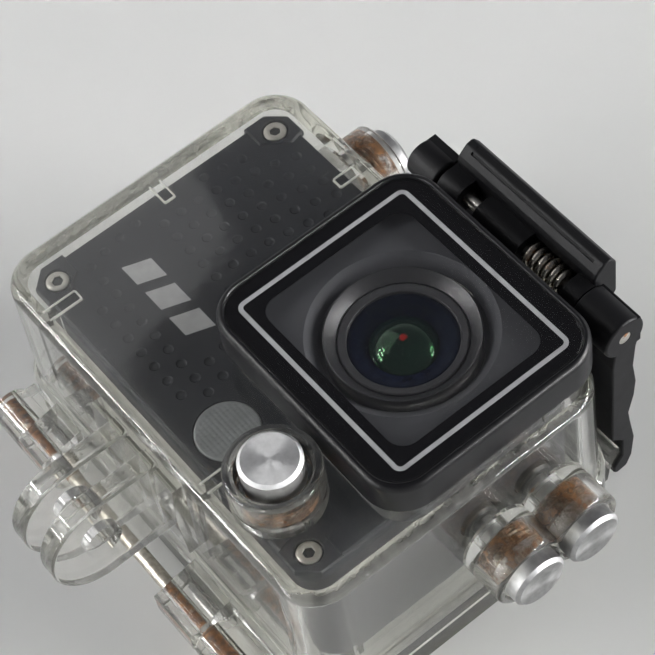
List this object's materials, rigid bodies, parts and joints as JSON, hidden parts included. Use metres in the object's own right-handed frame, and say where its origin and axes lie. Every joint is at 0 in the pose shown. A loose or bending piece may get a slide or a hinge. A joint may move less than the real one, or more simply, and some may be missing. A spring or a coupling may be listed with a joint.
{
  "type": "action camera",
  "caption": "Small action camera in a clear dive housing with a square flat lens port, hinged rear door, over-centre latch, sprung push buttons and a two-finger mount.",
  "frame": {"origin": "centre of the flat back face of the rear door", "axes": "+Z is the way the lens looks, +Y is the camera top with the latch, +X is the right side seen from the front, along the mount fingers' bore"},
  "size_m": [0.0765, 0.0745, 0.0386],
  "materials": {
    "clear_housing": "clear polycarbonate, slightly yellowed, fine scratches, rust stains at the fittings",
    "bezel_black": "satin black",
    "port_glass": "flat polished glass with a black printed mask and a thin pale line",
    "baffle_grey": "matte dark grey",
    "seal_rubber": "matte black",
    "gasket_silicone": "translucent white silicone",
    "steel_pin": "ground stainless steel, spotted with rust",
    "latch_black": "satin black glass-filled nylon",
    "spring_steel": "drawn spring wire, partly rusted",
    "cap_metal": "turned face with radial brushing",
    "clip_steel": "blackened spring steel",
    "cover_charcoal": "matte charcoal with small round dimples",
    "camera_black": "fine moulded texture",
    "screw_nickel": "satin nickel",
    "lens_black": "anodised black",
    "lens_ring_satin": "satin black with a bright turned edge",
    "lens_glass": "coated glass",
    "sensor_chip": "polished silicon",
    "board_green": "solder mask",
    "battery_wrap": "shrink film",
    "memory_card_plastic": "moulded",
    "socket_metal": "plated sheet",
    "display_gloss": "gloss black",
    "speaker_cone": "pressed cone",
    "microphone_can": "plated can",
    "diffuser_white": "translucent with fine grid lines",
    "led_clear": "clear epoxy",
    "camera_button_black": "satin"
  },
  "bodies": {
    "root": {"housing_front_shell": "clear_housing", "mount_fingers": "clear_housing", "port_bezel": "bezel_black", "port_window": "port_glass", "port_baffle": "baffle_grey", "port_window_seal": "seal_rubber", "front_button_seal": "seal_rubber", "top_button_seal": "seal_rubber", "side_a_button_seal": "seal_rubber", "side_b_button_seal": "seal_rubber", "door_hinge_pin": "steel_pin", "latch_lever_pin": "steel_pin", "front_button_spring": "spring_steel", "top_button_spring": "spring_steel", "side_a_button_spring": "spring_steel", "side_b_button_spring": "spring_steel", "camera_front_cover": "cover_charcoal", "camera_frame": "camera_black", "camera_back_cover": "camera_black", "battery_door": "camera_black", "front_cover_screws": "screw_nickel", "lens_housing": "lens_black", "lens_barrel": "lens_black", "lens_holder": "lens_black", "lens_bezel_ring": "lens_ring_satin", "front_lens": "lens_glass", "rear_lens": "lens_glass", "image_sensor": "sensor_chip", "sensor_board": "board_green", "main_board": "board_green", "battery": "battery_wrap", "memory_card": "memory_card_plastic", "card_socket": "socket_metal", "usb_socket": "socket_metal", "hdmi_socket": "socket_metal", "display": "display_gloss", "speaker": "speaker_cone", "microphone": "microphone_can", "light_diffuser": "diffuser_white", "indicator_led": "led_clear"},
    "latch_lever": {"latch_lever": "latch_black", "latch_arm_pin": "steel_pin", "latch_torsion_spring": "spring_steel"},
    "latch_arm": {"latch_arm": "latch_black"},
    "back_door": {"back_door": "clear_housing", "door_seal": "gasket_silicone"},
    "front_button": {"front_button_cap": "cap_metal", "front_button_clip": "clip_steel"},
    "camera_front_button": {"camera_front_button": "camera_button_black"},
    "top_button": {"top_button_cap": "cap_metal", "top_button_clip": "clip_steel"},
    "camera_top_button": {"camera_top_button": "camera_button_black"},
    "side_a_button": {"side_a_button_cap": "cap_metal", "side_a_button_clip": "clip_steel"},
    "camera_side_a_button": {"camera_side_a_button": "camera_button_black"},
    "side_b_button": {"side_b_button_cap": "cap_metal", "side_b_button_clip": "clip_steel"},
    "camera_side_b_button": {"camera_side_b_button": "camera_button_black"}
  },
  "joints": [
    {"name": "latch_open", "type": "hinge", "parent": "root", "child": "latch_lever", "pos_m": [0.0106, 0.0264, 0.0215], "axis": [-1, 0, 0], "range_deg": [0, 120]},
    {"name": "hook_swing", "type": "hinge", "parent": "latch_lever", "child": "latch_arm", "pos_m": [0.0106, 0.0275, 0.033], "axis": [1, 0, 0], "range_deg": [0, 240]},
    {"name": "door_swing", "type": "hinge", "parent": "root", "child": "back_door", "pos_m": [0, -0.0288, 0.004], "axis": [-1, 0, 0], "range_deg": [0, 100]},
    {"name": "front_press", "type": "slide", "parent": "root", "child": "front_button", "axis": [0, 0, -1], "range_m": [0, 0.001], "stiffness_N_per_m": 600, "springref_m": -0.0008, "deforming": ["front_button_spring"]},
    {"name": "front_switch", "type": "slide", "parent": "root", "child": "camera_front_button", "axis": [0, 0, -1], "range_m": [0, 0.001]},
    {"name": "top_press", "type": "slide", "parent": "root", "child": "top_button", "axis": [0, -1, 0], "range_m": [0, 0.001], "stiffness_N_per_m": 600, "springref_m": -0.0008, "deforming": ["top_button_spring"]},
    {"name": "top_switch", "type": "slide", "parent": "root", "child": "camera_top_button", "axis": [0, -1, 0], "range_m": [0, 0.001]},
    {"name": "side_a_press", "type": "slide", "parent": "root", "child": "side_a_button", "axis": [-1, 0, 0], "range_m": [0, 0.001], "stiffness_N_per_m": 600, "springref_m": -0.0008, "deforming": ["side_a_button_spring"]},
    {"name": "side_a_switch", "type": "slide", "parent": "root", "child": "camera_side_a_button", "axis": [-1, 0, 0], "range_m": [0, 0.001]},
    {"name": "side_b_press", "type": "slide", "parent": "root", "child": "side_b_button", "axis": [-1, 0, 0], "range_m": [0, 0.001], "stiffness_N_per_m": 600, "springref_m": -0.0008, "deforming": ["side_b_button_spring"]},
    {"name": "side_b_switch", "type": "slide", "parent": "root", "child": "camera_side_b_button", "axis": [-1, 0, 0], "range_m": [0, 0.001]}
  ],
  "couplings": [
    {"joint": "hook_swing", "follows": "latch_open", "ratio": 2},
    {"joint": "door_swing", "follows": "latch_open", "ratio": 0.8333},
    {"joint": "front_switch", "follows": "front_press", "ratio": 1},
    {"joint": "top_switch", "follows": "top_press", "ratio": 1},
    {"joint": "side_a_switch", "follows": "side_a_press", "ratio": 1},
    {"joint": "side_b_switch", "follows": "side_b_press", "ratio": 1}
  ]
}
